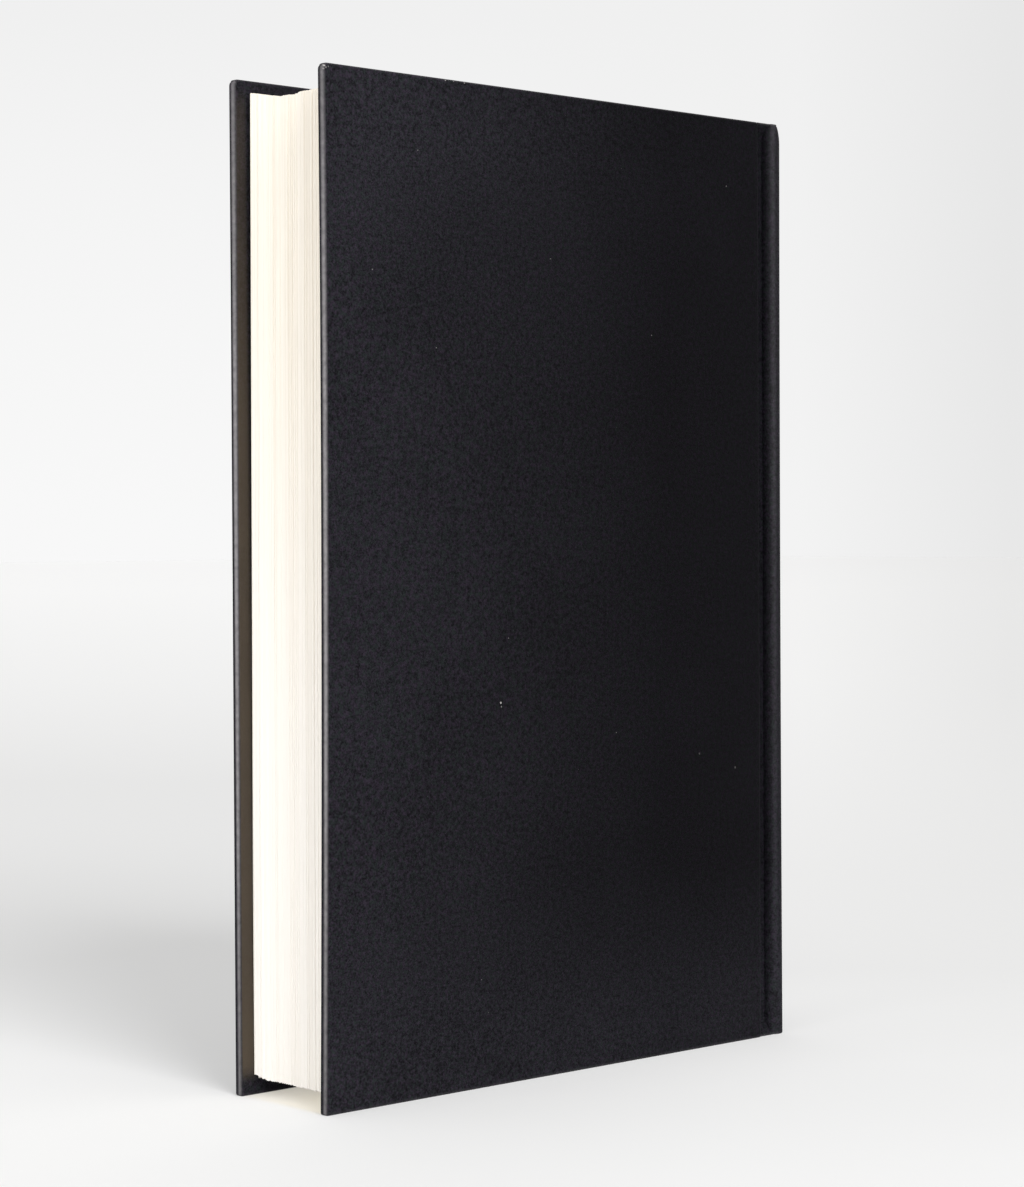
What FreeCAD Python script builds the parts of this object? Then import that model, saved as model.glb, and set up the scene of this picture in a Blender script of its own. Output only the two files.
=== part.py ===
import FreeCAD, Part
import math
import os
import re
import Sketcher

# Hardback book, standing on its tail. The fore-edge faces -X, the spine faces +X, the
# front cover faces +Y and the back cover faces -Y. The origin is on the floor, under the
# middle of the book. Sketches measure X from the fore-edge of the covers, Y from the
# middle leaf and Z from the tail.

# Driving dimensions in millimetres
SIZES = {
    "leaf_tall": 215.0,  # trimmed leaf, head to tail
    "leaf_wide": 138.5,  # trimmed leaf, fore-edge to spine fold
    "pages_thick": 26.2,  # all the leaves between the flyleaves
    "round_rise": 2.6,  # rounding of the spine, which hollows the fore-edge as much
    "shoulder_out": 1.9,  # backed shoulder, out from the leaves
    "shoulder_slant": 1.0,  # backed shoulder, along the leaves
    "leaf_droop": 0.6,  # how far the unheld fore-edge hangs down
    "tail_square": 3.5,  # board beyond the leaves at the tail
    "head_square": 3.5,  # board beyond the leaves at the head
    "fore_square": 3.5,  # board beyond the leaves at the fore-edge
    "paste_short": 1.2,  # pastedown trimmed back from the leaves' fore-edge
    "endpaper_thick": 0.2,
    "mull_thick": 0.2,
    "lining_thick": 0.3,
    "lining_short": 1.0,  # spine left bare beyond the lining
    "hollow": 0.3,  # least air between the lining and the case
    "inlay_thick": 0.7,
    "covering_thick": 0.2,
    "board_thick": 2.0,
    "board_ease": 0.5,  # rounding of the board's edges
    "turn_in": 15.0,  # covering folded on to the inside of the board
    "spine_turn_in": 12.0,  # covering folded in behind the inlay
    "flap_wide": 25.0,  # gauze pasted to the inside of the board
    "mull_gap": 0.5,  # between the gauze's ends and the turn-ins
    "cover_gap": 0.3,  # air between a cover and the text block
    "floor_gap": 0.05,  # between the gauze and the covering in the groove
    "groove_wide": 3.35,  # from the cover's edge to the roll of the shoulder
    "roll_radius": 2.8,  # covering rolled over the shoulder
    "roll_set": 0.25,  # centre of that roll, beyond the leaf's spine fold
    "hinge_in": 1.2,  # hinge line, into the groove from the cover's edge
    "hinge_out": 0.2,  # hinge line, out from the cover's face
    "band_deep": 10.0,  # cloth of a headband, glued to the spine
    "bead_tall": 1.6,  # bead of a headband, over the leaves
    "bead_crown": 0.8,  # rounded top of that bead
    "bead_deep": 1.8,
}

# Places that follow from the driving dimensions
PLACES = {
    "half_pages": "pages_thick / 2",
    "leaf_end": "fore_square + leaf_wide",
    "head": "tail_square + leaf_tall",
    "cover_tall": "head + head_square",
    # the rounded back of the text block and its shoulders
    "block_radius": "(half_pages ^ 2 + round_rise ^ 2) / (2 * round_rise)",
    "block_back": "leaf_end + round_rise",
    "block_centre": "block_back - block_radius",
    "tip_y": "half_pages + shoulder_out",
    "tip_x": "block_centre + sqrt(block_radius ^ 2 - tip_y ^ 2)",
    "flare_x": "tip_x - shoulder_slant",
    "slope": "sqrt(shoulder_slant ^ 2 + shoulder_out ^ 2)",
    "slope_x": "shoulder_slant / slope",
    "slope_y": "shoulder_out / slope",
    "bend": "(slope - shoulder_slant) / shoulder_out",
    # the leaves hang down between the headbands and the fore-edge
    "held_x": "flare_x - bead_deep",
    "droop": "leaf_droop * held_x / (held_x - fore_square)",
    # the layers, outwards from the leaves
    "flyleaf_face": "half_pages + endpaper_thick",
    "mull_face": "flyleaf_face + mull_thick",
    "floor_in": "mull_face + floor_gap",
    "floor_out": "floor_in + covering_thick",
    "paste_face": "flyleaf_face + cover_gap",
    "turn_face": "paste_face + endpaper_thick",
    "board_in": "turn_face + covering_thick",
    "board_out": "board_in + board_thick",
    "cover_out": "board_out + covering_thick",
    # the groove, the roll over the shoulder and the curve of the case's spine
    "roll_x": "leaf_end + roll_set",
    "roll_y": "cover_out - roll_radius",
    "cover_edge": "roll_x - roll_radius - groove_wide",
    "groove_start": "cover_edge + cover_gap",
    "total_deep": "block_back + mull_thick + lining_thick + hollow + inlay_thick + 2 * covering_thick",
    "case_step": "total_deep - roll_radius - roll_x",
    "case_run": "(roll_y ^ 2 - case_step ^ 2) / (2 * case_step)",
    "case_centre": "roll_x - case_run",
    "case_radius": "total_deep - case_centre",
    "join_x": "case_run / (case_radius - roll_radius)",
    "join_y": "roll_y / (case_radius - roll_radius)",
    "inlay_out": "case_radius - covering_thick",
    "inlay_in": "inlay_out - inlay_thick",
    "fold_in": "inlay_in - covering_thick",
    # the gauze, between the turn-ins
    "mull_low": "turn_in + mull_gap",
    "mull_high": "cover_tall - turn_in - mull_gap",
    "flap_end": "cover_edge - covering_thick - flap_wide",
}

os.makedirs("parts", exist_ok=True)
doc = FreeCAD.newDocument("HardbackBook")
sheet = doc.addObject("Spreadsheet::Sheet", "Sizes")
for row, (alias, value) in enumerate(SIZES.items(), start=1):
    sheet.set(f"A{row}", alias)
    sheet.set(f"B{row}", str(value))
    sheet.setAlias(f"B{row}", alias)
doc.recompute()


def formula(text):
    """Write a size or place by name as an expression on the spreadsheet."""

    def swap(match):
        word = match.group(0)
        if word in PLACES:
            return f"({formula(PLACES[word])})"
        if word in SIZES:
            return f"Sizes.{word}"
        return word

    return re.sub(r"[a-z]+(_[a-z]+)*", swap, str(text))


def worth(text):
    """The number that a formula comes to."""
    return float(sheet.evalExpression(formula(text)))


def bind(thing, path, text):
    thing.setExpression(path, formula(text))


def new_body(label):
    body = doc.addObject("PartDesign::Body", label)
    body.Label = label
    bind(body, ".Placement.Base.x", "-total_deep / 2")
    return body


def new_sketch(body, name, role, offset="0"):
    """A sketch on an origin plane of its own body, moved along the plane's normal."""
    sketch = body.newObject("Sketcher::SketchObject", name)
    plane = next(f for f in body.Origin.OriginFeatures if f.Role == role)
    sketch.AttachmentSupport = [(plane, "")]
    sketch.MapMode = "FlatFace"
    bind(sketch, ".AttachmentOffset.Base.z", offset)
    return sketch


def arc_edge(start, end, radius, turn):
    """The shorter arc from start to end, anticlockwise where turn is 1."""
    chord = end - start
    rise = math.sqrt(radius**2 - (chord.Length / 2) ** 2)
    across = FreeCAD.Vector(-chord.y, chord.x, 0).normalize()
    centre = (start + end) * 0.5 + across * (turn * rise)
    circle = Part.Circle(centre, FreeCAD.Vector(0, 0, 1), radius)
    first, last = (start, end) if turn > 0 else (end, start)
    angles = [math.atan2((p - centre).y, (p - centre).x) for p in (first, last)]
    return Part.ArcOfCircle(circle, *angles)


def trace(sketch, corners, arcs=None):
    """Draw a closed outline. arcs gives the edges that are round: a radius and a turn."""
    arcs = arcs or {}
    points = [FreeCAD.Vector(worth(x), worth(y), 0) for x, y in corners]
    ends = []
    for index, start in enumerate(points):
        end = points[(index + 1) % len(points)]
        if index in arcs:
            radius, turn = arcs[index]
            edge = sketch.addGeometry(arc_edge(start, end, worth(radius), turn))
            ends.append((edge, 1, 2) if turn > 0 else (edge, 2, 1))
        else:
            edge = sketch.addGeometry(Part.LineSegment(start, end))
            ends.append((edge, 1, 2))
    for index, (edge, first, last) in enumerate(ends):
        for kind, text in zip(("DistanceX", "DistanceY"), corners[index]):
            rule = Sketcher.Constraint(kind, -1, 1, edge, first, worth(text))
            bind(sketch, f"Constraints[{sketch.addConstraint(rule)}]", text)
        following, its_first, its_last = ends[(index + 1) % len(ends)]
        sketch.addConstraint(Sketcher.Constraint("Coincident", edge, last, following, its_first))
        if index in arcs:
            rule = Sketcher.Constraint("Radius", edge, worth(arcs[index][0]))
            bind(sketch, f"Constraints[{sketch.addConstraint(rule)}]", arcs[index][0])


def box_corners(left, low, right, high):
    return [(left, low), (right, low), (right, high), (left, high)]


def pad(body, name, sketch, length):
    feature = body.newObject("PartDesign::Pad", name)
    feature.Profile = sketch
    bind(feature, "Length", length)
    return feature


def pocket(body, name, sketch, length=None):
    """A pocket against the sketch's normal, or right through both ways with no length."""
    feature = body.newObject("PartDesign::Pocket", name)
    feature.Profile = sketch
    if length is None:
        feature.Type = "ThroughAll"
        feature.Midplane = True
    else:
        bind(feature, "Length", length)
    return feature


def mirror_path(path):
    """The same points across the middle leaf, in the opposite order."""
    return [(x, f"-({y})") for x, y in reversed(path)]


# The text block: leaves, flyleaves, gauze, lining and headbands


def trim_ends(body):
    """Slope the head and tail of the leaves, which hang down at the fore-edge."""
    head_trim = new_sketch(body, "HeadTrim", "XZ_Plane")
    trace(head_trim, [("0", "head - droop"), ("held_x", "head"), ("0", "head")])
    pocket(body, "HeadCut", head_trim)
    tail_trim = new_sketch(body, "TailTrim", "XZ_Plane")
    below = [
        ("0", "tail_square - droop"),
        ("total_deep", "tail_square - droop"),
        ("total_deep", "tail_square"),
        ("held_x", "tail_square"),
    ]
    trace(tail_trim, below)
    pocket(body, "TailCut", tail_trim)


def leaf_pad(body, corners, arcs=None):
    """A plan of the leaves, as tall as they are and lower by their droop."""
    plan = new_sketch(body, "Plan", "XY_Plane", "tail_square - droop")
    trace(plan, corners, arcs)
    pad(body, "Leaves", plan, "leaf_tall + droop")
    trim_ends(body)


def make_page_block():
    """Rounded and backed leaves: a round spine with shoulders and a hollow fore-edge."""
    body = new_body("page_block")
    near_side = [("fore_square", "-half_pages"), ("flare_x", "-half_pages"), ("tip_x", "-tip_y")]
    corners = near_side + mirror_path(near_side)
    leaf_pad(body, corners, {2: ("block_radius", 1), 5: ("block_radius", -1)})
    return body


def shoulder_path(start, layer):
    """The line along a face of the leaves and up their shoulder, out by a layer's thickness."""
    return [
        (start, f"half_pages + {layer}"),
        (f"flare_x - ({layer}) * bend", f"half_pages + {layer}"),
        (f"tip_x - ({layer}) * slope_y", f"tip_y + ({layer}) * slope_x"),
    ]


def make_flyleaf(label, side):
    """The endpaper's free half, folded up the shoulder with the outer leaves."""
    body = new_body(label)
    inner = shoulder_path("fore_square", "0")
    outer = shoulder_path("fore_square", "endpaper_thick")
    corners = [(x, f"{side} * ({y})") for x, y in inner + outer[::-1]]
    leaf_pad(body, corners)
    return body


def make_spine_mull():
    """Gauze over the rounded spine, both shoulders and the floors of the grooves."""
    body = new_body("spine_mull")
    layers = "(endpaper_thick + mull_thick)"
    inner = shoulder_path("groove_start", "endpaper_thick") + [("tip_x", "tip_y")]
    outer = shoulder_path("groove_start", layers)[:2] + [
        (
            f"tip_x - {layers} * slope_y + mull_thick * slope_x",
            f"tip_y + {layers} * slope_x + mull_thick * slope_y",
        ),
        (
            "tip_x + mull_thick * (tip_x - block_centre) / block_radius",
            "tip_y + mull_thick * tip_y / block_radius",
        ),
    ]
    corners = inner + mirror_path(inner) + [(x, f"-({y})") for x, y in outer] + outer[::-1]
    plan = new_sketch(body, "Plan", "XY_Plane", "mull_low")
    trace(plan, corners, {3: ("block_radius", -1), 11: ("block_radius + mull_thick", 1)})
    pad(body, "Gauze", plan, "mull_high - mull_low")
    return body


def curved_strip(centre, inner, outer, half_wide):
    """The outline of a strip bent to the spine, with its ends level with the leaves."""
    ends = []
    for radius in (inner, outer):
        ends.append(f"{centre} + sqrt(({radius}) ^ 2 - ({half_wide}) ^ 2)")
    corners = [
        (ends[0], f"-({half_wide})"),
        (ends[0], half_wide),
        (ends[1], half_wide),
        (ends[1], f"-({half_wide})"),
    ]
    return corners, {0: (inner, 1), 2: (outer, -1)}


def make_spine_lining():
    body = new_body("spine_lining")
    inner = "block_radius + mull_thick"
    plan = new_sketch(body, "Plan", "XY_Plane", "tail_square + lining_short")
    trace(plan, *curved_strip("block_centre", inner, f"{inner} + lining_thick", "half_pages"))
    pad(body, "Paper", plan, "leaf_tall - 2 * lining_short")
    return body


def make_band(label, end, way):
    """A headband: cloth glued to the rounded spine, with a bead over the end of the leaves."""
    body = new_body(label)
    section = new_sketch(body, "Section", "XZ_Plane")
    bind(section, ".AttachmentOffset.Base.x", "block_centre")
    back = "block_radius + mull_thick"
    front = f"{back} - bead_deep"
    side_top = f"{end} + {way} * (bead_tall - bead_crown)"
    corners = [
        ("block_radius", f"{end} - {way} * band_deep"),
        (back, f"{end} - {way} * band_deep"),
        (back, side_top),
        (front, side_top),
        (front, end),
        ("block_radius", end),
    ]
    crown_radius = "(bead_deep ^ 2 / 4 + bead_crown ^ 2) / (2 * bead_crown)"
    trace(section, corners, {2: (crown_radius, way)})
    turned = body.newObject("PartDesign::Revolution", "Turned")
    turned.Profile = section
    turned.ReferenceAxis = (section, ["V_Axis"])
    turned.Midplane = True
    bind(turned, "Angle", "2 * asin(half_pages / block_radius)")
    return body


# The case: inlay, covering over the spine, and the two covers


def at_join(radius, sign):
    """A point on the line where the spine's curve meets the shoulder's roll."""
    return (f"case_centre + ({radius}) * join_x", f"{sign} * ({radius}) * join_y")


def case_strip(inner, outer):
    corners = [at_join(inner, -1), at_join(inner, 1), at_join(outer, 1), at_join(outer, -1)]
    return corners, {0: (inner, 1), 2: (outer, -1)}


def make_spine_inlay():
    body = new_body("spine_inlay")
    plan = new_sketch(body, "Plan", "XY_Plane", "covering_thick")
    trace(plan, *case_strip("inlay_in", "inlay_out"))
    pad(body, "Card", plan, "cover_tall - 2 * covering_thick")
    return body


def make_spine_covering():
    """Covering pressed into both grooves, rolled over the shoulders and round the inlay."""
    body = new_body("spine_covering")
    roll_in = "(roll_radius - covering_thick)"
    outside = [
        ("groove_start", "floor_out"),
        ("roll_x - sqrt(roll_radius ^ 2 - (floor_out - roll_y) ^ 2)", "floor_out"),
        at_join("case_radius", 1),
    ]
    inside = [
        ("groove_start", "floor_in"),
        (f"roll_x - sqrt({roll_in} ^ 2 - (floor_in - roll_y) ^ 2)", "floor_in"),
        at_join("inlay_out", 1),
    ]
    corners = outside + mirror_path(outside) + [(x, f"-({y})") for x, y in inside] + inside[::-1]
    arcs = {
        1: ("roll_radius", -1),
        2: ("case_radius", -1),
        3: ("roll_radius", -1),
        7: (roll_in, 1),
        8: ("inlay_out", 1),
        9: (roll_in, 1),
    }
    plan = new_sketch(body, "Plan", "XY_Plane")
    trace(plan, corners, arcs)
    pad(body, "Sheet", plan, "cover_tall")
    for name, low in (("TailFold", "0"), ("HeadFold", "cover_tall - spine_turn_in")):
        ring = new_sketch(body, f"{name}Plan", "XY_Plane", low)
        trace(ring, *case_strip("fold_in", "inlay_out"))
        pad(body, name, ring, "spine_turn_in")
    room = new_sketch(body, "InlayPlan", "XY_Plane", "cover_tall - covering_thick")
    trace(room, *case_strip("inlay_in", "inlay_out"))
    pocket(body, "InlayRoom", room, "cover_tall - 2 * covering_thick")
    return body


def slab_sketch(body, name, side, inner, outer):
    """A sketch on the +Y face of a slab that lies between two distances from the middle."""
    return new_sketch(body, name, "XZ_Plane", f"-({outer})" if side > 0 else inner)


def slab_pad(body, name, side, inner, outer, corners):
    sketch = slab_sketch(body, f"{name}Outline", side, inner, outer)
    trace(sketch, corners)
    return pad(body, name, sketch, f"{outer} - ({inner})")


def round_edges(body, feature, radius):
    """Ease every edge of a slab."""
    doc.recompute()
    fillet = body.newObject("PartDesign::Fillet", "Ease")
    fillet.Base = (feature, [f"Edge{n + 1}" for n in range(len(feature.Shape.Edges))])
    bind(fillet, "Radius", radius)
    return fillet


def make_board(label, side):
    body = new_body(label)
    skin = "covering_thick"
    corners = box_corners(skin, skin, f"cover_edge - {skin}", f"cover_tall - {skin}")
    slab = slab_pad(body, "Slab", side, "board_in", "board_out", corners)
    round_edges(body, slab, "board_ease")
    return body


def make_covering(label, side, board):
    """Covering round the board's four edges, open where the turn-ins end."""
    wrap = new_body(f"{label}_wrap")
    corners = box_corners("0", "0", "cover_edge", "cover_tall")
    slab = slab_pad(wrap, "Slab", side, "turn_face", "cover_out", corners)
    round_edges(wrap, slab, "board_ease + covering_thick")
    hollow_wrap = doc.addObject("Part::Cut", f"{label}_hollow")
    hollow_wrap.Base = wrap
    hollow_wrap.Tool = board
    window = doc.addObject("Part::Box", f"{label}_window")
    bind(window, "Length", "cover_edge - covering_thick - turn_in")
    bind(window, "Width", "covering_thick")
    bind(window, "Height", "cover_tall - 2 * turn_in")
    bind(window, ".Placement.Base.x", "turn_in - total_deep / 2")
    bind(window, ".Placement.Base.y", "turn_face" if side > 0 else "-board_in")
    bind(window, ".Placement.Base.z", "turn_in")
    covering = doc.addObject("Part::Cut", label)
    covering.Label = label
    covering.Base = hollow_wrap
    covering.Tool = window
    return covering


def make_mull_flap(label, side):
    body = new_body(label)
    corners = box_corners("flap_end", "mull_low", "cover_edge - covering_thick", "mull_high")
    slab_pad(body, "Gauze", side, "turn_face", "board_in", corners)
    return body


def make_pastedown(label, side):
    """The endpaper's pasted half, which steps down inside the turn-ins and the gauze."""
    body = new_body(label)
    well = box_corners("turn_in", "turn_in", "flap_end", "cover_tall - turn_in")
    slab_pad(body, "Well", side, "paste_face", "board_in", well)
    lap = box_corners("fore_square + paste_short", "tail_square", "cover_edge", "head")
    slab_pad(body, "Lap", side, "paste_face", "turn_face", lap)
    paper = "endpaper_thick"
    inset = box_corners(
        f"turn_in + {paper}",
        f"turn_in + {paper}",
        f"flap_end - {paper}",
        f"cover_tall - turn_in - {paper}",
    )
    low_face = "-(paste_face)" if side > 0 else "turn_face"
    step = new_sketch(body, "StepOutline", "XZ_Plane", low_face)
    trace(step, inset)
    pocket(body, "Step", step, "covering_thick")
    return body


def make_cover(name, side):
    board = make_board(f"{name}_board", side)
    return [
        board,
        make_covering(f"{name}_covering", side, board),
        make_mull_flap(f"{name}_mull_flap", side),
        make_pastedown(f"{name}_pastedown", side),
    ]


book = [
    make_page_block(),
    make_flyleaf("front_flyleaf", 1),
    make_flyleaf("back_flyleaf", -1),
    make_spine_mull(),
    make_spine_lining(),
    make_band("head_band", "head", 1),
    make_band("tail_band", "tail_square", -1),
    make_spine_inlay(),
    make_spine_covering(),
]
book += make_cover("front", 1)
book += make_cover("back", -1)
doc.recompute()

for thing in doc.Objects:
    if {"Invalid", "Error"} & set(thing.State):
        raise RuntimeError(f"{thing.Name} failed: {thing.State}")
for piece in book:
    if piece.Shape.isNull() or not piece.Shape.isValid() or len(piece.Shape.Solids) != 1:
        raise RuntimeError(f"{piece.Label} isn't one sound solid")

for piece in book:
    piece.Shape.exportStep(f"parts/{piece.Label}.step")
    extent = piece.Shape.BoundBox
    print(
        f"{piece.Label}: {piece.Shape.Volume:.0f} mm3, "
        f"X {extent.XMin:.2f}..{extent.XMax:.2f}, Y {extent.YMin:.2f}..{extent.YMax:.2f}, "
        f"Z {extent.ZMin:.2f}..{extent.ZMax:.2f}"
    )
hinge_x = worth("cover_edge + hinge_in - total_deep / 2")
print(f"hinges at X {hinge_x:.2f}, Y {worth('cover_out + hinge_out'):.2f} either side")
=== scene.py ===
import bpy
import bmesh
import math
from mathutils import Matrix, Vector


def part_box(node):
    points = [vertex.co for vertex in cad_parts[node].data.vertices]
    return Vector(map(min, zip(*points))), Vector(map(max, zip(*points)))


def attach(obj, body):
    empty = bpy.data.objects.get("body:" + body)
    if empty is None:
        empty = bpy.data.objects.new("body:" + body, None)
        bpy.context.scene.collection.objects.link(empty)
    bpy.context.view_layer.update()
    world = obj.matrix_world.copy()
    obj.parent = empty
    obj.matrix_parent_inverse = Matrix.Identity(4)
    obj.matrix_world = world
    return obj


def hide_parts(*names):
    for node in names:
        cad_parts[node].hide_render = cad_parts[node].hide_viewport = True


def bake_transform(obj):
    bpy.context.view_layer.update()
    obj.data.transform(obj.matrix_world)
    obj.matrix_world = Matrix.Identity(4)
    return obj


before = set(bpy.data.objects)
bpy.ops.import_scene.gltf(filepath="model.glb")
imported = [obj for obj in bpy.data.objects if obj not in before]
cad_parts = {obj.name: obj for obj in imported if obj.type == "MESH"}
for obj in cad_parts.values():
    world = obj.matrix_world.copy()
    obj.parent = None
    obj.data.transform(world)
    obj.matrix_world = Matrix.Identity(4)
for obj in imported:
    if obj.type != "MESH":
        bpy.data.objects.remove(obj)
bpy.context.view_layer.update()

mm = 0.001
scene = bpy.context.scene
book = "text_block"
coverOf = {1: "front", -1: "back"}  # by the side of Y that a cover lies on


def boxOf(node):
    low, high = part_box(node)
    return low / mm, high / mm


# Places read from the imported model, in millimetres
coverLow, coverHigh = boxOf("front_covering")
foreX, jointX, tall = coverLow.x, coverHigh.x, coverHigh.z
turnFace, coverOut = coverLow.y, coverHigh.y
boardLow, boardHigh = boxOf("front_board")
flapLow, flapHigh = boxOf("front_mull_flap")
pasteLow, pasteHigh = boxOf("front_pastedown")
halfPages = boxOf("front_flyleaf")[0].y
leafLow, leafHigh = boxOf("page_block")
mullLow, mullHigh = boxOf("spine_mull")
inlayLow, inlayHigh = boxOf("spine_inlay")
spineBack = -foreX
sheet = 0.199  # paper and gauze as drawn, a hair thinner than the model's
print("frame read")


# Numbers, and node trees written as expressions


def clamp(value, low=0.0, high=1.0):
    return max(low, min(high, value))


def smooth(value):
    value = clamp(value)
    return value * value * (3 - 2 * value)


def lerp(first, second, share):
    return first + (second - first) * share


class Value:
    def __init__(self, tree, socket):
        self.tree = tree
        self.socket = socket

    def __add__(self, other):
        return self.tree.maths("ADD", self, other)

    def __radd__(self, other):
        return self.tree.maths("ADD", other, self)

    def __sub__(self, other):
        return self.tree.maths("SUBTRACT", self, other)

    def __rsub__(self, other):
        return self.tree.maths("SUBTRACT", other, self)

    def __mul__(self, other):
        return self.tree.maths("MULTIPLY", self, other)

    def __rmul__(self, other):
        return self.tree.maths("MULTIPLY", other, self)

    def __truediv__(self, other):
        return self.tree.maths("DIVIDE", self, other)

    def __rtruediv__(self, other):
        return self.tree.maths("DIVIDE", other, self)

    def __pow__(self, other):
        return self.tree.maths("POWER", self, other)

    def __lt__(self, other):
        return self.tree.maths("LESS_THAN", self, other)


class Tree:
    def __init__(self, nodeTree):
        self.nodes = nodeTree.nodes
        self.links = nodeTree.links

    def add(self, kind, settings=None, inputs=None):
        node = self.nodes.new(kind)
        for name, setting in (settings or {}).items():
            if name == "stops":
                ramp = node.color_ramp.elements
                while len(ramp) < len(setting):
                    ramp.new(0.5)
                for stop, (place, colour) in zip(ramp, setting):
                    stop.position, stop.color = place, colour
            else:
                setattr(node, name, setting)
        for name, value in (inputs or {}).items():
            self.feed(node.inputs[name], value)
        return node

    def feed(self, socket, value):
        if isinstance(value, Value):
            self.links.new(value.socket, socket)
        elif isinstance(value, bpy.types.NodeSocket):
            self.links.new(value, socket)
        else:
            socket.default_value = value

    def maths(self, operation, *values):
        node = self.add("ShaderNodeMath", {"operation": operation}, dict(enumerate(values)))
        return Value(self, node.outputs[0])

    def held(self, value, low=0.0, high=1.0):
        return self.maths("MINIMUM", self.maths("MAXIMUM", value, low), high)

    def eased(self, value):
        value = self.held(value)
        return value * value * (3 - 2 * value)

    def mixed(self, share, first, second):
        mix = self.add("ShaderNodeMix", {"data_type": "RGBA"}, {0: share, 6: first, 7: second})
        return mix.outputs[2]

    def split(self, vector):
        parts = self.add("ShaderNodeSeparateXYZ", {}, {0: vector}).outputs
        return [Value(self, part) for part in parts]

    def joined(self, x, y, z):
        return self.add("ShaderNodeCombineXYZ", {}, {0: x, 1: y, 2: z}).outputs[0]

    def noise(self, vector, scale, detail=2.0, rough=0.5):
        inputs = {"Vector": vector, "Scale": scale, "Detail": detail, "Roughness": rough}
        return Value(self, self.add("ShaderNodeTexNoise", {}, inputs).outputs[0])


def tint(red, green, blue):
    channels = []
    for level in (red / 255, green / 255, blue / 255):
        channels.append(level / 12.92 if level < 0.04045 else ((level + 0.055) / 1.055) ** 2.4)
    return (*channels, 1.0)


# Finishes


def newFinish(name):
    finish = bpy.data.materials.new(name)
    finish.use_nodes = True
    finish.node_tree.nodes.clear()
    tree = Tree(finish.node_tree)
    place = tree.add("ShaderNodeTexCoord").outputs["Object"]
    return finish, tree, place


def coat(tree, colour, rough, height, depth, strength, extra=None):
    bump = tree.add("ShaderNodeBump", {}, {"Height": height, "Distance": depth, "Strength": strength})
    inputs = {"Base Color": colour, "Roughness": rough, "Normal": bump.outputs[0]}
    inputs.update(extra or {})
    surface = tree.add("ShaderNodeBsdfPrincipled", {}, inputs)
    tree.add("ShaderNodeOutputMaterial", {}, {"Surface": surface.outputs[0]})


coveringFinish = {
    "dark": tint(3, 2, 4),
    "pale": (tint(20, 14, 24), tint(12, 17, 16)),  # two casts of the same black
    "paintedLitDark": tint(14, 13, 17),  # painted light and sheen: a lighter grey towards the fore-edge, the foot, the head and over the spine
    "paintedLitPale": (tint(50, 44, 55), tint(40, 45, 46)),
    # rubbed grey, also the colour of the painted highlights on the fore-edges and the roll
    "rubbedAndLit": tint(138, 135, 137),
    "inner": tint(80, 71, 60),  # painted bounce light from the leaves on the black turn-ins
    "chipped": tint(190, 186, 184),
    "scales": {"mottle": 920.0, "grain": 2400.0, "cloud": 28.0, "cast": 1300.0, "patchy": 700.0},
    # places in metres: where a change starts, and over what width or height
    # painted light: where the lighter greys towards the fore-edge, the foot and the head start
    "foreLight": (0.030, 0.103),
    "footLitTall": 0.05,
    "headSheen": (0.165, 0.05),
    "roll": (0.0664, 0.0012),
    "rollHighlight": (0.0681, 0.0011),
    "groove": (0.0618, 0.0012),
    "lightTall": 0.16,  # painted highlight on the roll, stronger up to this height
    "backFace": -0.0150,
    # small pale specks on the back cover: across, up, radius and strength
    "specks": [
        (-23.4, 84.9, 0.30, 0.75),
        (-23.2, 84.0, 0.22, 0.30),
        (13.0, 76.4, 0.14, 0.28),
        (-29.3, 24.0, 0.13, 0.25),
        (-27.2, 16.5, 0.13, 0.22),
        (53.5, 66.0, 0.35, 0.10),
        (41.0, 70.0, 0.30, 0.10),
        (-60.2, 179.0, 0.18, 0.30),
        (-42.1, 163.0, 0.17, 0.28),
        (-7.4, 184.5, 0.16, 0.26),
        (25.2, 168.6, 0.16, 0.26),
        (-47.0, 205.6, 0.16, 0.30),
        (-21.0, 99.2, 0.16, 0.28),
        (51.1, 205.5, 0.20, 0.25),
        (-38.8, 221.6, 0.22, 0.45),  # along the head
        (-36.4, 221.6, 0.18, 0.30),
        (-33.2, 221.6, 0.22, 0.40),
        (-72.7, 221.3, 0.26, 0.75),  # on the fore corner, and its folded crease
        (-72.9, 220.6, 0.22, 0.35),
        (-72.4, 220.9, 0.22, 0.35),
        (-71.8, 221.1, 0.22, 0.25),
    ],
}


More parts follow.
